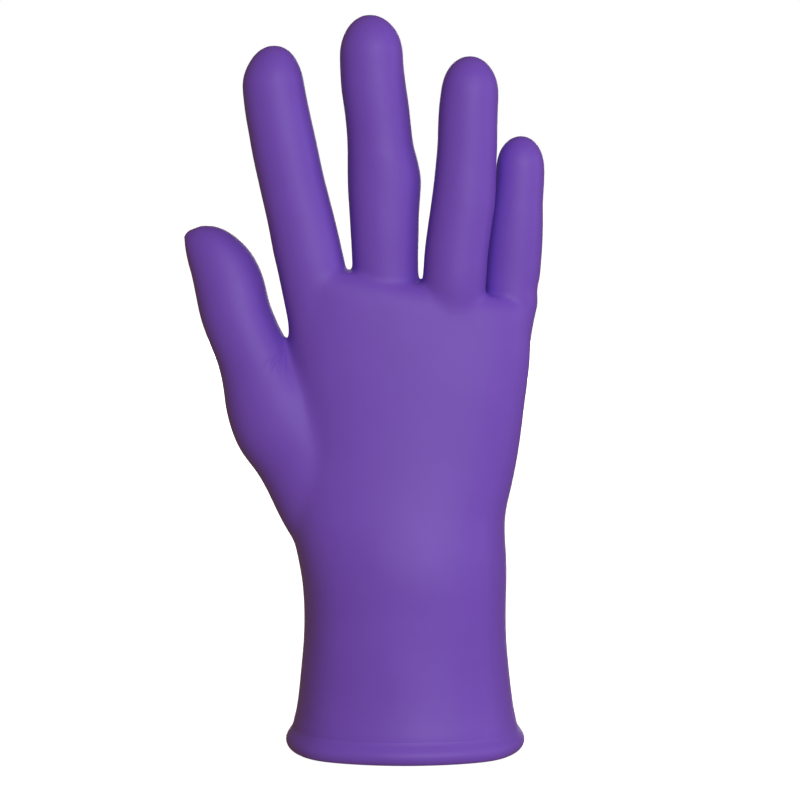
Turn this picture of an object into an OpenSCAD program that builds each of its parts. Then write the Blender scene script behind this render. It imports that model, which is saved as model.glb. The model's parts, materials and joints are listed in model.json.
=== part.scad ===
// Disposable nitrile examination glove, right hand, shaped as it is when worn.
// The origin is the centre of the cuff's mouth. +Z runs from the cuff to the
// fingertips, the back of the hand faces -Y and the thumb is on the -X side.
// The glove is one dipped film. It is divided here into sleeves that keep
// their shape and bands that bend, and every division is a plane, so
// neighbouring zones meet face to face. Lengths are in millimetres.

/* [Film] */
// Thickness of the dipped film
film = 0.12; // [0.08:0.01:0.3]
// How far the rolled bead stands out from the film
bead_stand = 2.6; // [1.2:0.1:4]
// Height of the rolled bead along the cuff
bead_h = 7.5; // [4:0.5:10]

/* [Cuff] */
// Length from the mouth to the middle of the wrist
cuff_length = 60; // [45:1:110]
// Width across the mouth
cuff_w = 73; // [60:1:95]
// Depth of the mouth from back to palm
cuff_d = 58; // [46:1:80]
// Width across the wrist
wrist_w = 66; // [54:1:80]
// Depth of the wrist from back to palm
wrist_d = 50; // [40:1:64]

/* [Palm] */
// Length from the middle of the wrist to the finger crotches
palm_length = 94; // [80:1:115]
// Width across the palm below the fingers
palm_w = 80; // [68:1:92]
// Depth of the palm from back to front
palm_d = 31; // [24:1:40]
// Slope of the knuckle line, which falls towards the little finger
knuckle_slope = 9.5; // [4:0.5:14]

/* [Fingers: index, middle, ring, little] */
// Length from the knuckle line's crotches to the fingertip
finger_length = [72, 85, 75.5, 53]; // [45:0.5:105]
// Width of the finger
finger_w = [22.4, 22.2, 20.6, 17]; // [14:0.1:24]
// Depth of the finger from back to front
finger_d = [19.5, 20, 18.5, 15.6]; // [12:0.1:24]
// Place of the index finger's middle across the hand, measured from the cuff's middle
index_x = -30.4; // [-36:0.1:-26]
// Gaps between index and middle, middle and ring, and ring and little, at the crotches
finger_gap = [1.9, 0.6, 0.8]; // [0.5:0.1:6]
// Place of the finger's middle towards the palm side
finger_y = [0, 0, 0, 3]; // [-4:0.1:6]
// Lean of the finger away from the thumb
finger_lean = [-12, -3.6, 3.8, 3.4]; // [-16:0.1:8]
// Extra width at the middle joint
finger_knuckle = [0, 1.6, 0, 0]; // [0:0.1:3]

/* [Thumb] */
// Length from the thumb's web to its tip
thumb_length = 40; // [32:1:50]
// Width of the thumb
thumb_w = 23; // [19:0.5:27]
// Depth of the thumb from back to front
thumb_d = 21; // [17:0.5:25]
// Lean of the thumb towards its own side
thumb_lean = 17; // [10:1:22]

/* [Bends] */
// Distance of the knuckle bend below the finger crotches
knuckle_drop = 11.5; // [11:0.5:14]
// Half the length of the knuckle band
knuckle_half = 9; // [7:0.5:9]
// Half the length of the wrist band
wrist_half = 14; // [10:1:18]
// Where each finger's root band starts, above the crotches
root_start = 6; // [5.5:0.5:6.5]
// Length of each finger's root band
root_band = 6; // [5:0.5:6.5]
// Place of the middle bend as a share of the finger past its root band
middle_bend = 0.26; // [0.22:0.01:0.3]
// Place of the tip bend as a share of the finger past its root band
tip_bend = 0.645; // [0.6:0.005:0.68]

/* [Hidden] */
FINGERS = ["index", "middle", "ring", "little"];
FINGER_ZONES = ["root_band", "base_sleeve", "middle_band", "middle_sleeve", "tip_band", "tip_cap"];
THUMB_ZONES = ["thumb_root_band", "thumb_sleeve", "thumb_tip_band", "thumb_tip_cap"];

nitrile = "#6f4fae";
rolled_edge = "#7c5cb8";
palm_sides = 36;
finger_sides = 24;
// How full each outline is: 2 is an ellipse, and more is squarer
palm_fullness = 2.5;
finger_fullness = 2.15;
dome_steps = [0, 25, 48, 68, 84];
far = 150;

knuckle_z = cuff_length + palm_length;
// Half the lengths of a finger's bands, as shares of the finger past its root band
middle_half = 0.12;
tip_half = 0.095;
// Each finger stands beside the last one, from the index outwards
middle_x = index_x + (finger_w[0] + finger_w[1]) / 2 + finger_gap[0];
ring_x = middle_x + (finger_w[1] + finger_w[2]) / 2 + finger_gap[1];
little_x = ring_x + (finger_w[2] + finger_w[3]) / 2 + finger_gap[2];
finger_x = [index_x, middle_x, ring_x, little_x];

// ---- Outlines and lofts ----

function power(v, fullness) = sign(v) * pow(abs(v), 2 / fullness);

// A closed outline about [x, y, z]. Its plane leans from level by lean degrees.
function ring(x, y, z, lean, half_w, half_d, sides, fullness) = [
  for (k = [0:sides - 1])
    let (a = 360 * k / sides, across = half_w * power(cos(a), fullness))
      [x + across * cos(lean), y + half_d * power(sin(a), fullness), z - across * sin(lean)]
];

// Solid through a list of rings, one convex stretch at a time
module loft(rings) {
  for (i = [0:len(rings) - 2]) {
    points = concat(rings[i], rings[i + 1]);
    hull() polyhedron(points, [[for (k = [0:len(points) - 1]) k]]);
  }
}

// ---- Cuff and palm ----

function cuff_half_w(z) = wrist_w / 2 + (cuff_w - wrist_w) / 2 * pow(1 - z / cuff_length, 2);
function cuff_half_d(z) = wrist_d / 2 + (cuff_d - wrist_d) / 2 * pow(1 - z / cuff_length, 2);

function hand_ring(z, left, right, half_d, lean, inset) = ring(
  (left + right) / 2, 0, z, lean,
  (right - left) / 2 - inset, half_d - inset, palm_sides, palm_fullness
);

// [share of the palm's length, left edge and right edge as shares of half its
// width, depth as a share of half its depth, share of the knuckle slope]
PALM_RINGS = [
  [0.19, -0.93, 0.82, 1.32, 0.00],
  [0.38, -0.93, 0.91, 1.12, 0.10],
  [0.57, -0.93, 0.98, 1.02, 0.35],
  [0.76, -0.955, 1.03, 0.92, 0.75],
  [0.88, -0.97, 1.05, 0.80, 1.00],
  [0.955, -0.96, 1.04, 0.67, 1.00],
  [0.99, -0.92, 0.98, 0.48, 1.00]
];

function cuff_rings(inset, from_z) = [
  for (z = [from_z, for (k = [0.12, 0.3, 0.5, 0.75, 1]) k * cuff_length])
    hand_ring(z, -cuff_half_w(max(z, 0)), cuff_half_w(max(z, 0)), cuff_half_d(max(z, 0)), 0, inset)
];

function palm_rings(inset) = [
  for (p = PALM_RINGS)
    hand_ring(cuff_length + p[0] * palm_length, p[1] * palm_w / 2, p[2] * palm_w / 2,
      p[3] * palm_d / 2, p[4] * knuckle_slope, inset)
];

// ---- Fingers ----

// Middle of finger i where it crosses the knuckle line, and its direction
function finger_root(i) = [finger_x[i], finger_y[i], knuckle_z - tan(knuckle_slope) * finger_x[i]];
function along(lean) = [sin(lean), 0, cos(lean)];
function on_finger(i, s) = finger_root(i) + s * along(finger_lean[i]);

// [share of the finger's length, share of its width, share of its knuckle's extra width]
FINGER_RINGS = [
  [0, 1.02, 0], [0.2, 1, 0.3], [0.365, 0.985, 1], [0.52, 0.965, 0], [0.69, 0.955, 0]
];
// How far the finger runs down into the palm, to be joined to it
finger_sink = 26;

function finger_ring(i, s, half_w, half_d) =
  let (p = on_finger(i, s))
    ring(p.x, p.y, p.z, finger_lean[i], half_w, half_d, finger_sides, finger_fullness);

function finger_rings(i, inset) =
  let (w = finger_w[i] / 2, d = finger_d[i] / 2, pad = 0.93, dome = pad * (w + d) / 2) concat(
    [finger_ring(i, -finger_sink, w * 1.04 - inset, d * 0.98 - inset)],
    [
      for (f = FINGER_RINGS)
        finger_ring(i, f[0] * finger_length[i], w * f[1] + finger_knuckle[i] / 2 * f[2] - inset,
          d * f[1] - inset)
    ],
    [
      for (a = dome_steps)
        finger_ring(i, finger_length[i] - dome + (dome - inset) * sin(a),
          (w * pad - inset) * cos(a), (d * pad - inset) * cos(a))
    ]
  );

// ---- Thumb ----

// [across and along from the wrist as shares of the palm's length, lean, half
// width and half depth as shares of the thumb's half width, place towards the palm]
THUMB_BASE = [
  [-0.180, 0.106, 30, 1.30, 1.30, 0],
  [-0.280, 0.277, 31, 1.46, 1.35, 0],
  [-0.404, 0.489, 28, 1.46, 1.25, 1],
  [-0.468, 0.638, 20, 1.24, 1.13, 2]
];
// The free thumb, from its web: [across and along as shares of its length,
// extra lean, half width, half depth, place towards the palm]
THUMB_FREE = [
  [0, 0, 0, 1.01, 1.05, 3],
  [-0.145, 0.35, -1, 1.01, 1.0, 5],
  [-0.225, 0.60, 0, 0.955, 0.94, 6],
  [-0.325, 0.765, 11, 0.83, 0.83, 7],
  [-0.425, 0.855, 25, 0.55, 0.63, 7],
  [-0.500, 0.905, 33, 0.30, 0.38, 7],
  [-0.540, 0.930, 35, 0.09, 0.12, 7]
];
thumb_web = [-0.527 * palm_length, 0, cuff_length + 0.777 * palm_length];

function thumb_ring(p, lean, w, d, y, inset) = ring(
  p.x, y, p.z, -lean,
  max(w * thumb_w / 2 - inset, 0.3), max(d * thumb_d / 2 - inset, 0.3), finger_sides, finger_fullness
);

function thumb_rings(inset) = concat(
  [
    for (t = THUMB_BASE)
      thumb_ring([t[0] * palm_length, 0, cuff_length + t[1] * palm_length], t[2], t[3], t[4],
        t[5], inset)
  ],
  [
    for (t = THUMB_FREE)
      thumb_ring(thumb_web + [t[0], 0, t[1]] * thumb_length, thumb_lean + t[2], t[3], t[4],
        t[5], inset)
  ]
);

// ---- Places where the zones divide ----

// All that lies between two heights over a plane that leans at p
module slab(p, lean, low, high) {
  translate([p.x, 0, p.z]) rotate([0, lean, 0])
    translate([-far, -far, low]) cube([2 * far, 2 * far, high - low]);
}

module level_slab(low, high) slab([0, 0, 0], 0, low, high);
module knuckle_slab(low, high) slab([0, 0, knuckle_z], knuckle_slope, low, high);

knuckle_low = -knuckle_drop - knuckle_half;
knuckle_high = -knuckle_drop + knuckle_half;

// The thumb's side of the hand, bounded by a plane that rises from its web
web_crease = thumb_web + [0.27 * thumb_length, 0, 0.10 * thumb_length];
web_lean = -14;
module thumb_side() {
  translate(web_crease) rotate([0, web_lean, 0]) translate([-far, -far, -far])
    cube([far, 2 * far, 2 * far]);
}

// Where the thumb's zones divide, measured along it from its web
thumb_start = 0.115 * thumb_length;
thumb_marks = [for (share = [0, 0.175, 0.25, 0.5, far]) thumb_start + share * thumb_length];

// Where finger i's zones divide, measured along it from the knuckle line
function finger_marks(i) = let (root_end = root_start + root_band, past = finger_length[i] - root_end) [
  root_start,
  for (share = [0, middle_bend - middle_half, middle_bend + middle_half,
                tip_bend - tip_half, tip_bend + tip_half]) root_end + share * past,
  far
];

// ---- Film ----

module hand_form(inset, from_z) {
  loft(concat(cuff_rings(inset, from_z), palm_rings(inset)));
  loft(thumb_rings(inset));
  for (i = [0:3]) loft(finger_rings(i, inset));
}

module hand_film() {
  difference() {
    hand_form(0, 0);
    hand_form(film, -1);
  }
}

module finger_film(i) {
  difference() {
    loft(finger_rings(i, 0));
    loft(finger_rings(i, film));
  }
}

module thumb_film() {
  difference() {
    loft(thumb_rings(0));
    loft(thumb_rings(film));
  }
}

// ---- Sub-parts ----

// The film's edge, rolled outwards on itself into a solid bead
module cuff_bead() {
  stand = [[0, 0.35], [0.09, 0.7], [0.24, 0.95], [0.42, 1], [0.6, 0.82], [0.8, 0.4], [1, 0.1]];
  color(rolled_edge) difference() {
    loft([
      for (s = stand)
        let (z = s[0] * bead_h, out = s[1] * bead_stand)
          hand_ring(z, -cuff_half_w(z) - out, cuff_half_w(z) + out, cuff_half_d(z) + out, 0, 0)
    ]);
    hand_form(film, -1);
  }
}

module cuff_sleeve() {
  color(nitrile) intersection() {
    hand_film();
    level_slab(bead_h, cuff_length - wrist_half);
  }
}

module wrist_band() {
  color(nitrile) intersection() {
    hand_film();
    level_slab(cuff_length - wrist_half, cuff_length + wrist_half);
  }
}

module hand_shell() {
  color(nitrile) difference() {
    hand_film();
    level_slab(-far, cuff_length + wrist_half);
    difference() {
      knuckle_slab(knuckle_low, far);
      thumb_side();
    }
    intersection() {
      slab(thumb_web, -thumb_lean, thumb_start, far);
      thumb_side();
    }
  }
}

module knuckle_band() {
  color(nitrile) difference() {
    intersection() {
      hand_film();
      knuckle_slab(knuckle_low, knuckle_high);
    }
    thumb_side();
  }
}

module finger_web() {
  color(nitrile) difference() {
    intersection() {
      hand_film();
      knuckle_slab(knuckle_high, far);
    }
    thumb_side();
    for (i = [0:3]) above_root(i);
  }
}

// Everything of finger i past the start of its root band, a hair larger so
// that no skin of it is left
module above_root(i) {
  intersection() {
    loft(finger_rings(i, -film / 2));
    slab(finger_root(i), finger_lean[i], root_start, far);
  }
}

module finger_zone(i, zone) {
  marks = finger_marks(i);
  color(nitrile) intersection() {
    finger_film(i);
    slab(finger_root(i), finger_lean[i], marks[zone], marks[zone + 1]);
  }
}

module thumb_zone(zone) {
  color(nitrile) intersection() {
    thumb_film();
    slab(thumb_web, -thumb_lean, thumb_marks[zone], thumb_marks[zone + 1]);
  }
}

cuff_bead();
cuff_sleeve();
wrist_band();
hand_shell();
knuckle_band();
finger_web();
for (i = [0:3])
  for (zone = [0:len(FINGER_ZONES) - 1])
    finger_zone(i, zone);
for (zone = [0:len(THUMB_ZONES) - 1])
  thumb_zone(zone);
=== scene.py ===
import json
import math

import bpy
import numpy as np
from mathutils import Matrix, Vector, noise


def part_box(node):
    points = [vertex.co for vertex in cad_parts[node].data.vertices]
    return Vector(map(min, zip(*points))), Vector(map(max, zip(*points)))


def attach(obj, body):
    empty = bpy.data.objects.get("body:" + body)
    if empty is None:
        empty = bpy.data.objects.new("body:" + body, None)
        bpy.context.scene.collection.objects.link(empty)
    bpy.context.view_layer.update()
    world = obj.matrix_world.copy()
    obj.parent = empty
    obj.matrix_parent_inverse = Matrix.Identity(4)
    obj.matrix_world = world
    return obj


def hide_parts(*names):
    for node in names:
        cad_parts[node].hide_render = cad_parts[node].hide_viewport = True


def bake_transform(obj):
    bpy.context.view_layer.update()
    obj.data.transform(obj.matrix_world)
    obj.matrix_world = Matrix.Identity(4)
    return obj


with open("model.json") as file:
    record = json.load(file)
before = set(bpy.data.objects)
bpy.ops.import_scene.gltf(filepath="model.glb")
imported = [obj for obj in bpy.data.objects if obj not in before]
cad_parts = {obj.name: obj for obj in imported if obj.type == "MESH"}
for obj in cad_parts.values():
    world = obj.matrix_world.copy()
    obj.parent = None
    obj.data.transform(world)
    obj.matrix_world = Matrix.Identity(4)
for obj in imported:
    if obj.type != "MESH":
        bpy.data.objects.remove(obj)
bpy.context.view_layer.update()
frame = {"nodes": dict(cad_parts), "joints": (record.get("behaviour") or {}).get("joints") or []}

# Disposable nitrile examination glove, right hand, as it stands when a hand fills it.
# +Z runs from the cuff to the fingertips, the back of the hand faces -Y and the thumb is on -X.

mm = 0.001
joints = {joint["name"]: joint for joint in frame["joints"]}
palmward = Vector((0, 1, 0))
fingerNames = ["index", "middle", "ring", "little"]


def hinge(name):
    return Vector(joints[name]["pos_m"])


def wayAlong(name):  # the way that the film runs where this joint bends it
    return palmward.cross(Vector(joints[name]["axis"])).normalized()


def acrossOf(way):
    return Vector((way.z, 0, -way.x))


def spanOf(node, way, origin=Vector((0, 0, 0))):  # a CAD node's lowest and highest place along way
    places = [(v.co - origin).dot(way) for v in frame["nodes"][node].data.vertices]
    return min(places), max(places)


def eased(value, start, end):  # 0 before start, 1 after end, with soft ends
    t = np.clip((value - start) / (end - start), 0, 1)
    return t * t * (3 - 2 * t)


def smoothly(place, places, values):  # a smooth line through values, read at place
    places, values = np.array(places, float), np.array(values, float)
    slopes = np.gradient(values, places, axis=0)
    i = int(np.clip(np.searchsorted(places, place) - 1, 0, len(places) - 2))
    gap = places[i + 1] - places[i]
    t = (place - places[i]) / gap
    return ((1 + 2 * t) * (1 - t) ** 2 * values[i] + t * (1 - t) ** 2 * gap * slopes[i]
            + t * t * (3 - 2 * t) * values[i + 1] + t * t * (t - 1) * gap * slopes[i + 1])


def startRing(name, sides, roundness):  # a level ring, open, left in edit mode with all of it selected
    bpy.ops.object.select_all(action="DESELECT")
    bpy.ops.mesh.primitive_circle_add(vertices=4, radius=10 * mm, fill_type="NOTHING",
                                      rotation=(0, 0, math.radians(45)))
    ring = bpy.context.object
    ring.name = ring.data.name = name
    bpy.ops.object.transform_apply(rotation=True)
    bpy.ops.object.mode_set(mode="EDIT")
    bpy.ops.mesh.select_mode(type="VERT")
    bpy.ops.mesh.select_all(action="SELECT")
    bpy.ops.mesh.subdivide(number_cuts=sides // 4 - 1)
    bpy.ops.transform.tosphere(value=roundness)
    bpy.ops.mesh.vertices_smooth(factor=0.5, repeat=sides // 4)  # takes the corners of the square off
    ring.update_from_editmode()
    return ring, max(v.co.x for v in ring.data.vertices)


def lean(degrees, centre):  # the headless rotate turns the other way, so the value is negative
    bpy.ops.transform.rotate(value=-math.radians(degrees), orient_axis="Y", center_override=centre)


def growTube(name, rows, roundness, sides=64):
    # each row is x, y, z, lean in degrees, half width and half depth, in millimetres
    tube, reach = startRing(name, sides, roundness)
    bpy.ops.mesh.edge_face_add()
    first = rows[0]
    centre = Vector(first[:3]) * mm
    bpy.ops.transform.translate(value=centre)
    bpy.ops.transform.resize(value=(first[4] * mm / reach, first[5] * mm / reach, 1), center_override=centre)
    lean(first[3], centre)
    for last, row in zip(rows, rows[1:]):
        centre = Vector(row[:3]) * mm
        step = centre - Vector(last[:3]) * mm
        bpy.ops.mesh.extrude_region_move(TRANSFORM_OT_translate={"value": step})
        lean(-last[3], centre)
        bpy.ops.transform.resize(value=(row[4] / last[4], row[5] / last[5], 1), center_override=centre)
        lean(row[3], centre)
    bpy.ops.object.mode_set(mode="OBJECT")
    return tube


palmShape = {
    "roundness": 0.8,
    "ringSpacing": 3,
    # height, left edge, right edge, half depth, lean, place towards the palm
    "rings": [
        (-6, -38.2, 38.4, 30.6, 0, 0), (5, -37.2, 37.6, 29.4, 0, 0), (8.5, -36.7, 37.0, 29.0, 0, 0),
        (12, -35.8, 36.2, 28.2, 0, 0), (18, -34.9, 35.3, 27.2, 0, 0), (26, -34.1, 34.4, 26.4, 0, 0),
        (36, -33.2, 33.5, 25.6, 0, 0), (46, -33.0, 33.3, 25.2, 0, 0), (56, -33.7, 33.5, 25.0, 0, 0),
        (66, -35.6, 33.3, 23.9, 0, 0), (72, -37.0, 32.9, 22.7, 0, 0), (78, -38.2, 33.2, 21.2, 0, 0),
        (86, -38.4, 35.0, 19.4, 0, 0), (96, -37.4, 36.9, 17.6, 1, 0), (106, -37.2, 38.3, 16.4, 2, 0),
        (116, -37.2, 39.4, 15.5, 3.6, 0), (126, -37.8, 40.6, 14.6, 6, 0), (135, -38.5, 41.6, 13.7, 8, 0),
        (142, -39.3, 41.7, 12.9, 9.5, 0), (147, -39.8, 41.5, 12.3, 9.5, 0), (151, -39.4, 40.8, 11.2, 9.5, 0),
        (154, -37.6, 39.2, 8.4, 9.5, 0),
    ],
}


def palmRows():
    heights = [ring[0] for ring in palmShape["rings"]]
    rows = []
    count = round((heights[-1] - heights[0]) / palmShape["ringSpacing"])
    for height in np.linspace(heights[0], heights[-1], count):
        _, left, right, depth, slope, place = smoothly(height, heights, palmShape["rings"])
        middle = (left + right) / 2
        rows.append((middle, place, height, slope, (right - left) / 2, depth))
    return rows


fingerShape = {
    "roundness": 0.93,
    "ringSpacing": 2.5,
    "domeTurns": 13,
    "rootRise": 9,  # the root hinge is this far above the knuckle line
    "forwardBy": 0.1,  # the share at which a finger stands all the way forward
    "index": {"halfWidth": 11.2, "halfDepth": 9.75, "dome": 0.82, "forward": 0, "sides": [
        (-0.34, 1.02, 0), (0, 0.99, -0.1), (0.1, 0.985, -0.1), (0.21, 0.965, -0.1), (0.38, 0.945, -0.4),
        (0.55, 0.945, -0.4), (0.64, 0.93, -0.3), (0.72, 0.92, -0.2), (0.81, 0.9, 0.2), (0.89, 0.89, 0.7),
        (0.96, 0.88, 1.5), (1, 0.88, 1.8)]},
    "middle": {"halfWidth": 11.1, "halfDepth": 10, "dome": 0.85, "forward": 0, "sides": [
        (-0.3, 1.02, 0.1), (0, 0.965, 0.05), (0.08, 0.975, 0.3), (0.15, 0.995, 0.6), (0.22, 1.015, 0.85),
        (0.29, 1.045, 1.2), (0.365, 1.075, 1.6), (0.43, 1.035, 1.45), (0.5, 0.965, 1.05), (0.576, 0.945, 0.9),
        (0.65, 0.945, 0.6), (0.72, 0.945, 0.1), (0.79, 0.93, -0.1), (0.86, 0.92, 0), (0.93, 0.91, 0.1),
        (1, 0.9, -0.1)]},
    "ring": {"halfWidth": 10.3, "halfDepth": 9.25, "dome": 0.84, "forward": 4, "sides": [
        (-0.35, 1.02, -0.1), (0, 1.0, 0.05), (0.08, 1.0, 0.1), (0.16, 1.0, 0.1), (0.24, 1.0, 0.45),
        (0.31, 1.0, 0.85), (0.38, 1.0, 1.25), (0.46, 0.975, 1.35), (0.54, 0.95, 1.3), (0.62, 0.94, 1.3),
        (0.7, 0.935, 1.0), (0.78, 0.925, 0.85), (0.86, 0.9, 0.9), (0.94, 0.9, 0.75), (1, 0.9, 0.6)]},
    "little": {"halfWidth": 8.5, "halfDepth": 7.8, "dome": 0.8, "forward": -0.2, "sides": [
        (-0.5, 0.72, -0.9), (-0.25, 0.86, -0.6), (0, 1.0, 0), (0.13, 1.06, 0.7), (0.26, 1.07, 0.85),
        (0.38, 1.055, 0.95), (0.49, 1.02, 1.0), (0.6, 0.97, 1.0), (0.72, 0.945, 1.2), (0.83, 0.925, 1.1),
        (0.94, 0.93, 1.0), (1, 0.93, 1.0)]},
    "drawnIn": 1.5,  # how far the little finger goes in behind the ring finger, in millimetres
    "drawnInFrom": (-3, 5),  # along the little finger
    "drawnInSide": (-0.06, 0.14),  # how much nearer to the little finger than to the ring finger
}


def fingerLine(finger):  # where the finger crosses the knuckle line, its way, and its length from there
    way = wayAlong(finger + "_root_bend")
    low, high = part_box(finger + "_base_sleeve")
    foot = hinge(finger + "_root_bend") - way * fingerShape["rootRise"] * mm
    foot.y = (low.y + high.y) / 2
    return foot, way, spanOf(finger + "_tip_cap", way, foot)[1]


def fingerRows(finger):
    shape = fingerShape[finger]
    foot, way, length = fingerLine(finger)
    slope = math.degrees(math.atan2(way.x, way.z))
    shares = [side[0] for side in shape["sides"]]
    dome = shape["dome"]
    steps = round((dome - shares[0]) * length / mm / fingerShape["ringSpacing"])
    places = [(share, 1) for share in np.linspace(shares[0], dome, steps)]
    for turn in np.linspace(0, math.radians(87), fingerShape["domeTurns"])[1:]:
        places.append((dome + (1 - dome) * math.sin(turn), math.cos(turn)))
    rows = []
    for share, closing in places:
        _, width, aside = smoothly(share, shares, shape["sides"])
        centre = (foot + way * share * length) / mm + acrossOf(way) * aside
        centre.y -= shape["forward"] * eased(share, shares[0], fingerShape["forwardBy"])
        rows.append((*centre, slope, width * shape["halfWidth"] * closing,
                     min(width, 1) * shape["halfDepth"] * closing))
    return rows


thumbShape = {
    "roundness": 0.93,
    "ringSpacing": 2.5,
    # across and up from the root hinge, lean, half width, half depth, place towards the palm
    "rings": [
        (31, -67.5, -30, 15.5, 14, 0.5), (26.8, -59.5, -31, 16.3, 14.8, 1),
        (18.7, -41.9, -31, 17.1, 14.8, 1.8), (12.1, -32.5, -30, 17.2, 14.3, 2.4),
        (8.7, -26, -28, 16.2, 13.8, 2.8), (6.4, -21.4, -25, 14.7, 13, 3.1),
        (4.8, -17.1, -22, 13.3, 12.3, 3.4), (2.8, -12, -19, 12.3, 11.7, 3.8),
        (0.7, -7.2, -17, 11.8, 11.2, 4.1), (-1.5, -2.2, -17, 11.7, 10.9, 4.4),
        (-3.6, 3.4, -16, 11.7, 10.7, 4.8), (-4.9, 9.5, -15, 11.7, 10.4, 5.4),
        (-6.6, 15.2, -17, 11.2, 9.9, 6), (-9.1, 20, -25, 10, 9.1, 6.5), (-11.4, 22.7, -33, 9, 8.2, 6.7),
        (-13.9, 25.2, -42, 7.4, 6.8, 6.9), (-16.4, 26.7, -50, 5.5, 5.2, 7), (-18.4, 27.6, -55, 3.2, 3.2, 7),
        (-19.6, 28.2, -56, 1.1, 1.2, 7),
    ],
}


def thumbRows():
    start = hinge("thumb_root_bend") / mm
    rings = np.array(thumbShape["rings"], float)
    steps = np.linalg.norm(np.diff(rings[:, :2], axis=0), axis=1)
    places = np.concatenate([[0], np.cumsum(steps)])
    rows = []
    for place in np.linspace(0, places[-1], round(places[-1] / thumbShape["ringSpacing"])):
        across, up, slope, width, depth, towards = smoothly(place, places, rings)
        rows.append((start.x + across, towards, start.z + up, slope, width, depth))
    return rows


filmShape = {
    "thickness": 0.12,
    "voxel": 0.7,
    "smoothing": 12,
    "joinSmoothing": 70,
    # where the tubes run into each other: lowest place, highest place and how far it eases off
    "knuckleJoin": (-14, 6, 8),  # along the fingers, from the knuckle hinge
    "thumbHeight": (70, 112, 12),
    "thumbJoin": (-30, -12, 8),  # along the thumb, from its root hinge
    "thumbSide": (-60, -20, 8),  # across the palm
    "mouth": 3.5,  # the film ends here, inside the rolled bead
}

webFolds = {
    "foot": (13.4, -6.4),  # where they meet, across and up from the thumb's root hinge
    "turns": (-130, -92),
    "spacing": 18,  # degrees
    "start": (1, 3),
    "end": (6, 12),
    "depth": 0.35,
}


def applyModifier(piece, kind, **settings):
    bpy.ops.object.select_all(action="DESELECT")
    piece.select_set(True)
    bpy.context.view_layer.objects.active = piece
    modifier = piece.modifiers.new(kind.title(), kind)
    for name, value in settings.items():
        setattr(modifier, name, value)
    bpy.ops.object.modifier_apply(modifier=modifier.name)


def readPoints(mesh):
    points = np.zeros(len(mesh.vertices) * 3)
    mesh.vertices.foreach_get("co", points)
    return points.reshape(-1, 3)


def readNormals(mesh):
    normals = np.zeros(len(mesh.vertices) * 3)
    mesh.vertices.foreach_get("normal", normals)
    return normals.reshape(-1, 3)


def band(values, low, high, soft):  # 1 between low and high, easing to 0 over soft on either side
    return eased(values, low - soft, low) * eased(-values, -high - soft, -high)


tubes = [growTube("film", palmRows(), palmShape["roundness"], 96)]
tubes += [growTube(name + "Tube", fingerRows(name), fingerShape["roundness"]) for name in fingerNames]
tubes.append(growTube("thumbTube", thumbRows(), thumbShape["roundness"]))
print("tubes grown")

bpy.ops.object.select_all(action="DESELECT")
for tube in tubes:
    tube.select_set(True)
film = tubes[0]
bpy.context.view_layer.objects.active = film
bpy.ops.object.join()
applyModifier(film, "REMESH", mode="VOXEL", voxel_size=filmShape["voxel"] * mm)
applyModifier(film, "SMOOTH", factor=0.5, iterations=filmShape["smoothing"])

# more smoothing where the tubes run into each other: the knuckle line and the thumb's base
points = readPoints(film.data) / mm
knuckle = hinge("knuckle_bend") / mm
knuckleWay = wayAlong("knuckle_bend")
overKnuckle = (points - np.array(knuckle)) @ np.array(knuckleWay)
thumbStart = hinge("thumb_root_bend") / mm
thumbWay = wayAlong("thumb_root_bend")
overThumb = (points - np.array(thumbStart)) @ np.array(thumbWay)
soft = band(overKnuckle, *filmShape["knuckleJoin"])
soft = np.maximum(soft, band(points[:, 2], *filmShape["thumbHeight"]))
soft = np.maximum(soft, band(overThumb, *filmShape["thumbJoin"]) * band(points[:, 0], *filmShape["thumbSide"]))
group = film.vertex_groups.new(name="joins")
for weight in range(1, 11):
    chosen = np.nonzero(np.round(soft * 10) == weight)[0]
    group.add([int(i) for i in chosen], weight / 10, "REPLACE")
applyModifier(film, "SMOOTH", factor=0.5, iterations=filmShape["joinSmoothing"], vertex_group="joins")
film.vertex_groups.clear()

# the little finger's film goes in behind the ring finger, once each of them has a wall of its own
points = readPoints(film.data) / mm


def awayFrom(finger):  # each point's distance from a finger's middle line, in shares of its half width
    foot, way, _ = fingerLine(finger)
    middle = foot / mm - palmward * fingerShape[finger]["forward"]
    away = np.linalg.norm(np.cross(points - np.array(middle), np.array(way)), axis=1)
    return away / fingerShape[finger]["halfWidth"]


littleFoot, littleWay, _ = fingerLine("little")
overLittle = (points - np.array(littleFoot / mm)) @ np.array(littleWay)
nearer = awayFrom("ring") - awayFrom("little")
share = eased(overLittle, *fingerShape["drawnInFrom"]) * eased(nearer, *fingerShape["drawnInSide"])
points[:, 0] -= fingerShape["drawnIn"] * share

# the thumb's web pinches into a few short folds
across = points[:, 0] - (thumbStart.x + webFolds["foot"][0])
upwards = points[:, 2] - (thumbStart.z + webFolds["foot"][1])
away, turn = np.hypot(across, upwards), np.degrees(np.arctan2(upwards, across))
share = eased(away, *webFolds["start"]) * (1 - eased(away, *webFolds["end"]))
share *= band(turn, *webFolds["turns"], webFolds["spacing"] / 2) * (points[:, 1] < thumbStart.y)
wave = np.cos(np.radians((turn - webFolds["turns"][0]) * 360 / webFolds["spacing"]))
points += readNormals(film.data) * (webFolds["depth"] * share * wave)[:, None]
film.data.vertices.foreach_set("co", (points * mm).ravel())
film.data.update()
print("one film of", len(film.data.polygons), "faces")


seamShape = {
    "belowFinger": 0.2,  # a root seam lies this far below its band
    "belowThumb": 0.3,
    "aboveWrist": 11,
    "margin": 0.9,  # the faces that a seam may cut reach this far below it
    "ringMargin": 3,  # and this far past the wrist's seam or the mouth
    "fingerTip": 5,  # a tip is this near to its digit's middle line
    "thumbTip": 12,
}


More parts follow.
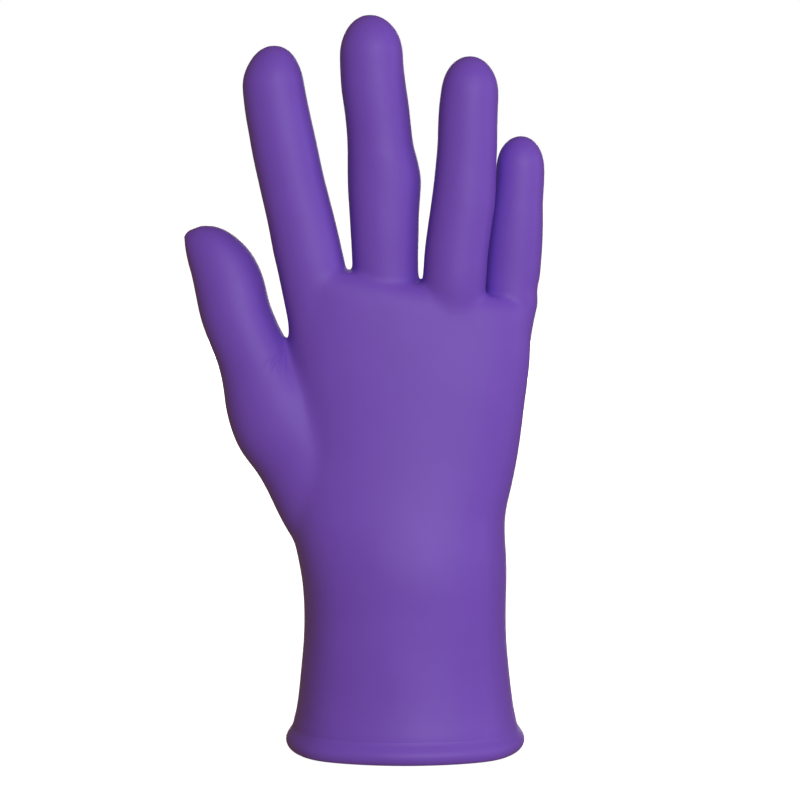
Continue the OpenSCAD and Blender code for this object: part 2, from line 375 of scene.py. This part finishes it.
def halfway(node, way, origin):
    low, high = spanOf(node, way, origin)
    return (low + high) / 2


seams = []  # digit, its foot, its way, and where each of its pieces starts along it
for name in fingerNames:
    foot, way, length = fingerLine(name)
    starts = [spanOf(name + "_root_band", way, foot)[0] - seamShape["belowFinger"] * mm,
              halfway(name + "_base_sleeve", way, foot), halfway(name + "_middle_sleeve", way, foot)]
    seams.append((name, foot, way, starts))
thumbFoot = hinge("thumb_root_bend")
starts = [spanOf("thumb_root_band", thumbWay, thumbFoot)[0] - seamShape["belowThumb"] * mm,
          halfway("thumb_sleeve", thumbWay, thumbFoot)]
seams.append(("thumb", thumbFoot, thumbWay, starts))


def faceCentres(mesh):
    centres = np.zeros(len(mesh.polygons) * 3)
    mesh.polygons.foreach_get("center", centres)
    return centres.reshape(-1, 3)


def facesPast(digit, place):  # faces that lie past place along a digit and are joined to its tip
    name, foot, way, _ = seams[digit]
    mesh = film.data
    centres = faceCentres(mesh)
    along = (centres - np.array(foot)) @ np.array(way)
    allowed = along > place
    corners = np.zeros(len(mesh.loops), int)
    mesh.loops.foreach_get("edge_index", corners)
    totals = np.zeros(len(mesh.polygons), int)
    mesh.polygons.foreach_get("loop_total", totals)
    owner = np.repeat(np.arange(len(mesh.polygons)), totals)
    order = np.argsort(corners, kind="stable")
    pairs = owner[order].reshape(-1, 2)  # the film is closed, so each edge has two faces
    pairs = pairs[allowed[pairs].all(axis=1)]
    aside = np.abs((centres - np.array(foot)) @ np.array(acrossOf(way)))
    nearMiddle = aside < seamShape["thumbTip" if name == "thumb" else "fingerTip"] * mm
    tip = np.argmax(np.where(allowed & nearMiddle, along, -1))
    neighbours = {}
    for a, b in pairs.tolist():
        neighbours.setdefault(a, []).append(b)
        neighbours.setdefault(b, []).append(a)
    found, edge = {int(tip)}, [int(tip)]
    while edge:
        face = edge.pop()
        for other in neighbours.get(face, ()):
            if other not in found:
                found.add(other)
                edge.append(other)
    chosen = np.zeros(len(mesh.polygons), bool)
    chosen[list(found)] = True
    return chosen


def bisectFilm(chosen, place, way, clear=False):
    mesh = film.data
    bpy.ops.object.mode_set(mode="EDIT")
    bpy.ops.mesh.select_mode(type="FACE")
    bpy.ops.mesh.select_all(action="DESELECT")
    bpy.ops.object.mode_set(mode="OBJECT")
    mesh.polygons.foreach_set("select", chosen)
    bpy.ops.object.mode_set(mode="EDIT")
    bpy.ops.mesh.bisect(plane_co=place, plane_no=way, clear_inner=clear)
    bpy.ops.object.mode_set(mode="OBJECT")


bpy.context.view_layer.objects.active = film
film.select_set(True)
for digit, (name, foot, way, starts) in enumerate(seams):
    for start in starts:
        bisectFilm(facesPast(digit, start - seamShape["margin"] * mm), foot + way * start, way)
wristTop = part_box("wrist_band")[1].z + seamShape["aboveWrist"] * mm
up = Vector((0, 0, 1))
ringMargin = seamShape["ringMargin"] * mm
bisectFilm(faceCentres(film.data)[:, 2] < wristTop + ringMargin, up * wristTop, up)

pieceNames = ["handFilm", "cuffFilm"]
part = np.zeros(len(film.data.polygons), int)
part[faceCentres(film.data)[:, 2] < wristTop] = 1
for digit, (name, foot, way, starts) in enumerate(seams):
    along = (faceCentres(film.data) - np.array(foot)) @ np.array(way)
    inDigit = facesPast(digit, starts[0])
    labels = ["Lower", "Middle", "Tip"] if len(starts) == 3 else ["Lower", "Tip"]
    for start, label in zip(starts, labels):
        part[inDigit & (along > start)] = len(pieceNames)
        pieceNames.append(name + label)
numbers = film.data.attributes.new("part", "INT", "FACE")
numbers.data.foreach_set("value", part)

# the mouth is cut open last, because the searches above need a closed film
mouth = up * filmShape["mouth"] * mm
bisectFilm(faceCentres(film.data)[:, 2] < mouth.z + ringMargin, mouth, up, clear=True)

# each point keeps the whole film's normal, so that no seam shows in the light
whole = readNormals(film.data).ravel()
film.data.attributes.new("wholeNormal", "FLOAT_VECTOR", "POINT").data.foreach_set("vector", whole)
print("seams cut")


def separatePiece(number, name):
    mesh = film.data
    part = np.zeros(len(mesh.polygons), int)
    mesh.attributes["part"].data.foreach_get("value", part)
    bpy.ops.object.select_all(action="DESELECT")
    film.select_set(True)
    bpy.context.view_layer.objects.active = film
    bpy.ops.object.mode_set(mode="EDIT")
    bpy.ops.mesh.select_mode(type="FACE")
    bpy.ops.mesh.select_all(action="DESELECT")
    bpy.ops.object.mode_set(mode="OBJECT")
    mesh.polygons.foreach_set("select", part == number)
    bpy.ops.object.mode_set(mode="EDIT")
    bpy.ops.mesh.separate(type="SELECTED")
    bpy.ops.object.mode_set(mode="OBJECT")
    piece = next(o for o in bpy.context.selected_objects if o != film)
    piece.name = piece.data.name = name
    return piece


def thicken(piece):  # gives the film its wall, inwards, with the whole film's normals on both faces
    applyModifier(piece, "SOLIDIFY", thickness=filmShape["thickness"] * mm, offset=-1)
    mesh = piece.data
    mesh.polygons.foreach_set("use_smooth", np.ones(len(mesh.polygons), bool))
    whole = np.zeros(len(mesh.vertices) * 3)
    mesh.attributes["wholeNormal"].data.foreach_get("vector", whole)
    whole = whole.reshape(-1, 3)
    flat = np.zeros(len(mesh.polygons) * 3)
    mesh.polygons.foreach_get("normal", flat)
    totals = np.zeros(len(mesh.polygons), int)
    mesh.polygons.foreach_get("loop_total", totals)
    flat = np.repeat(flat.reshape(-1, 3), totals, axis=0)
    corners = np.zeros(len(mesh.loops), int)
    mesh.loops.foreach_get("vertex_index", corners)
    facing = (flat * whole[corners]).sum(axis=1)
    normals = np.where(facing[:, None] > 0.5, whole[corners],
                       np.where(facing[:, None] < -0.5, -whole[corners], flat))
    mesh.normals_split_custom_set(normals.tolist())
    for name in ("part", "wholeNormal"):
        mesh.attributes.remove(mesh.attributes[name])
    return piece


pieces = {name: separatePiece(number, name) for number, name in enumerate(pieceNames) if number}
film.name = film.data.name = "handFilm"
pieces["handFilm"] = film
for piece in pieces.values():
    thicken(piece)
print("film pieces", {name: len(piece.data.polygons) for name, piece in pieces.items()})


beadShape = {
    "roundness": 0.8,
    # out from the film and up from the mouth, going round the roll
    "section": [(0.03, 7.9), (0.13, 7.3), (0.36, 6.6), (0.75, 5.9), (1.2, 5.1), (1.58, 4.3), (1.8, 3.4),
                (1.8, 2.5), (1.58, 1.65), (1.15, 0.85), (0.6, 0.3), (0.0, 0.02), (-0.3, 0.3), (-0.42, 0.9),
                (-0.42, 2.3), (-0.3, 4.4), (-0.16, 7.2)],
    "unevenness": 0.12,
    "waves": (14, 14, 30),  # the unevenness's length across and up
    "flatFoot": 2,
}


def beadRing(z):
    rings = palmShape["rings"]
    _, left, right, depth, _, _ = smoothly(max(z, filmShape["mouth"]), [ring[0] for ring in rings], rings)
    return (left + right) / 2, (right - left) / 2, depth


def makeBead():
    bead, reach = startRing("rolledBead", 160, beadShape["roundness"])
    last = None
    for out, up in beadShape["section"]:
        middle, width, depth = beadRing(up)
        now = (Vector((middle, 0, up)) * mm, (width + out) * mm, (depth + out) * mm)
        if last is None:
            bpy.ops.transform.translate(value=now[0])
            bpy.ops.transform.resize(value=(now[1] / reach, now[2] / reach, 1), center_override=now[0])
        else:
            bpy.ops.mesh.extrude_region_move(TRANSFORM_OT_translate={"value": now[0] - last[0]})
            bpy.ops.transform.resize(value=(now[1] / last[1], now[2] / last[2], 1), center_override=now[0])
        last = now
    bpy.ops.mesh.select_all(action="DESELECT")
    bpy.ops.mesh.select_non_manifold()
    bpy.ops.mesh.bridge_edge_loops()
    bpy.ops.mesh.select_all(action="SELECT")
    bpy.ops.mesh.normals_make_consistent(inside=False)
    bpy.ops.object.mode_set(mode="OBJECT")
    applyModifier(bead, "SUBSURF", levels=2, render_levels=2)
    points, normals = readPoints(bead.data), readNormals(bead.data)
    waves = np.array(beadShape["waves"]) * mm
    uneven = np.array([noise.noise(Vector(point / waves)) for point in points])
    # the underside stays flat, and the unevenness eases in above it
    outside = np.clip(normals[:, 2] + 1.2, 0, 1) * np.clip(points[:, 2] / (beadShape["flatFoot"] * mm), 0, 1)
    points += normals * (uneven * outside * beadShape["unevenness"] * mm)[:, None]
    points[:, 2] = np.maximum(points[:, 2], 0)
    bead.data.vertices.foreach_set("co", points.ravel())
    bead.data.update()
    bpy.ops.object.shade_smooth()
    return bead


bead = makeBead()
pieces["rolledBead"] = bead
print("bead rolled")


def colour(code):  # an sRGB hex value as linear light
    parts = [int(code[i:i + 2], 16) / 255 for i in (1, 3, 5)]
    return (*[c / 12.92 if c <= 0.04045 else ((c + 0.055) / 1.055) ** 2.4 for c in parts], 1)


def addNode(tree, kind, links=None, inputs=None, **settings):
    node = tree.nodes.new(kind)
    for name, value in settings.items():
        setattr(node, name, value)
    for name, value in (inputs or {}).items():
        node.inputs[name].default_value = value
    for name, source in (links or {}).items():
        tree.links.new(source, node.inputs[name])
    return node


nitrile = {
    "film": "#7550cc",
    "thin": "#7752ce",
    "thick": "#734ec9",
    # the bead's colour is a touch lighter than the film's: painted light, for how the light falls on the roll
    "bead": "#7752cd",
    "roughness": (0.45, 0.57),
    "grain": 0.35,  # the film's fine pebble, in millimetres, drawn a little coarse so that it shows
    "pebbleDepth": 0.03,
    "drift": 22,  # slow changes in the dipped film's thickness, in millimetres
}


def nitrileMaterial(name, base, thin, thick):
    # Nitrile rubber, dipped on a former and chlorinated: an even satin skin with a fine pebble,
    # a little lighter where the film is thin and darker where it drained and gathered.
    material = bpy.data.materials.new(name)
    material.use_nodes = True
    tree = material.node_tree
    tree.nodes.clear()
    place = addNode(tree, "ShaderNodeTexCoord").outputs["Object"]
    drift = addNode(tree, "ShaderNodeTexNoise", {"Vector": place},
                    {"Scale": 1 / (nitrile["drift"] * mm), "Detail": 3, "Roughness": 0.5})
    tint = addNode(tree, "ShaderNodeValToRGB", {"Fac": drift.outputs["Fac"]})
    ramp = tint.color_ramp
    ramp.elements[0].position, ramp.elements[0].color = 0.3, colour(thick)
    ramp.elements[1].position, ramp.elements[1].color = 0.7, colour(thin)
    ramp.elements.new(0.5).color = colour(base)
    pebble = addNode(tree, "ShaderNodeTexNoise", {"Vector": place},
                     {"Scale": 1 / (nitrile["grain"] * mm), "Detail": 2, "Roughness": 0.6})
    smooth, rough = nitrile["roughness"]
    gloss = addNode(tree, "ShaderNodeMapRange", {"Value": pebble.outputs["Fac"]},
                    {"From Min": 0.3, "From Max": 0.7, "To Min": smooth, "To Max": rough})
    bump = addNode(tree, "ShaderNodeBump", {"Height": pebble.outputs["Fac"]},
                   {"Strength": 0.25, "Distance": nitrile["pebbleDepth"] * mm})
    shader = addNode(tree, "ShaderNodeBsdfPrincipled",
                     {"Base Color": tint.outputs["Color"], "Roughness": gloss.outputs["Result"],
                      "Normal": bump.outputs["Normal"]},
                     {"IOR": 1.52, "Specular IOR Level": 0.25})
    addNode(tree, "ShaderNodeOutputMaterial", {"Surface": shader.outputs["BSDF"]})
    return material


filmMaterial = nitrileMaterial("nitrileRubberDipped", nitrile["film"], nitrile["thin"], nitrile["thick"])
# the rolled bead's tones run a touch lighter than the film's, as painted light on the roll
beadMaterial = nitrileMaterial("nitrileRubberRolledPaintedLight", nitrile["bead"], nitrile["thin"], nitrile["film"])
for name, piece in pieces.items():
    piece.data.materials.clear()
    piece.data.materials.append(beadMaterial if name == "rolledBead" else filmMaterial)


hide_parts("cuff_bead")
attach(bead, "cuff")
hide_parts("cuff_sleeve", "wrist_band")
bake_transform(pieces["cuffFilm"])
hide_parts("hand_shell", "knuckle_band", "finger_web")
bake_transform(pieces["handFilm"])


def blendOver(piece, before, after, jointName, bandNode, *others):
    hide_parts(bandNode, *others)
    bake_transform(pieces[piece])


for name in fingerNames:
    blendOver(name + "Lower", "finger_base", name + "_base", name + "_root_bend",
              name + "_root_band", name + "_base_sleeve")
    blendOver(name + "Middle", name + "_base", name + "_middle", name + "_middle_bend",
              name + "_middle_band", name + "_middle_sleeve")
    blendOver(name + "Tip", name + "_middle", name + "_tip", name + "_tip_bend",
              name + "_tip_band", name + "_tip_cap")
blendOver("thumbLower", "hand", "thumb", "thumb_root_bend", "thumb_root_band", "thumb_sleeve")
blendOver("thumbTip", "thumb", "thumb_tip", "thumb_tip_bend", "thumb_tip_band", "thumb_tip_cap")


studio = {  # in metres and watts
    "cameraDistance": 1.0,
    "cameraHeight": 0.225,
    "lens": 138.75,
    "aim": (-0.0015, 0, 0.115),
    "floorHeight": -0.0003,  # just under the bead
    "ambient": "#ffdda2",
    "ambientStrength": 0.27,
    "litPoint": (0, 0, 0.12),
    # place, size and power
    "keySoftbox": ((0.349, -1.399, 0.533), 0.7, 12.9),
    "sideSoftbox": ((1.134, -0.304, 0.369), 0.6, 2.6),
    "backSoftbox": ((0.1, 1.49, 0.16), 0.9, 9),
}

bpy.ops.object.select_all(action="DESELECT")
bpy.ops.mesh.primitive_plane_add(size=8, location=(0, 0, studio["floorHeight"]))
floor = bpy.context.object
floor.name = "floor"
floorMaterial = bpy.data.materials.new("paperSweep")
floorMaterial.use_nodes = True
shader = floorMaterial.node_tree.nodes["Principled BSDF"]
shader.inputs["Base Color"].default_value = colour("#ffffff")
shader.inputs["Roughness"].default_value = 0.9
shader.inputs["Specular IOR Level"].default_value = 0
shader.inputs["Emission Color"].default_value = colour("#ffffff")
shader.inputs["Emission Strength"].default_value = 0.9
floor.data.materials.append(floorMaterial)
floor.visible_diffuse = floor.visible_glossy = False  # it shows, and the room alone lights the glove

world = bpy.data.worlds.new("studio")
bpy.context.scene.world = world
world.use_nodes = True
tree = world.node_tree
tree.nodes.clear()
# what the camera sees behind the glove is white paper, and what lights the glove is a dimmer room
seen = addNode(tree, "ShaderNodeBackground", inputs={"Color": colour("#ffffff"), "Strength": 1.0})
room = addNode(tree, "ShaderNodeBackground",
               inputs={"Color": colour(studio["ambient"]), "Strength": studio["ambientStrength"]})
path = addNode(tree, "ShaderNodeLightPath")
choice = addNode(tree, "ShaderNodeMixShader", {"Fac": path.outputs["Is Camera Ray"]})
tree.links.new(room.outputs["Background"], choice.inputs[1])
tree.links.new(seen.outputs["Background"], choice.inputs[2])
addNode(tree, "ShaderNodeOutputWorld", {"Surface": choice.outputs["Shader"]})


def addSoftbox(name):
    place, size, power = studio[name]
    data = bpy.data.lights.new(name, "AREA")
    data.shape, data.size, data.energy = "SQUARE", size, power
    lamp = bpy.data.objects.new(name, data)
    bpy.context.scene.collection.objects.link(lamp)
    lamp.location = place
    lamp.rotation_euler = (Vector(studio["litPoint"]) - Vector(place)).to_track_quat("-Z", "Y").to_euler()


for name in ("keySoftbox", "sideSoftbox", "backSoftbox"):
    addSoftbox(name)

camera = bpy.data.objects.new("camera", bpy.data.cameras.new("camera"))
bpy.context.scene.collection.objects.link(camera)
aim = Vector(studio["aim"])
camera.location = Vector((aim.x, -studio["cameraDistance"], studio["cameraHeight"]))
camera.rotation_euler = (aim - camera.location).to_track_quat("-Z", "Y").to_euler()
camera.data.lens = studio["lens"]
camera.data.sensor_width = 36
bpy.context.scene.camera = camera
bpy.context.scene.view_settings.view_transform = "Standard"

print("studio set up")
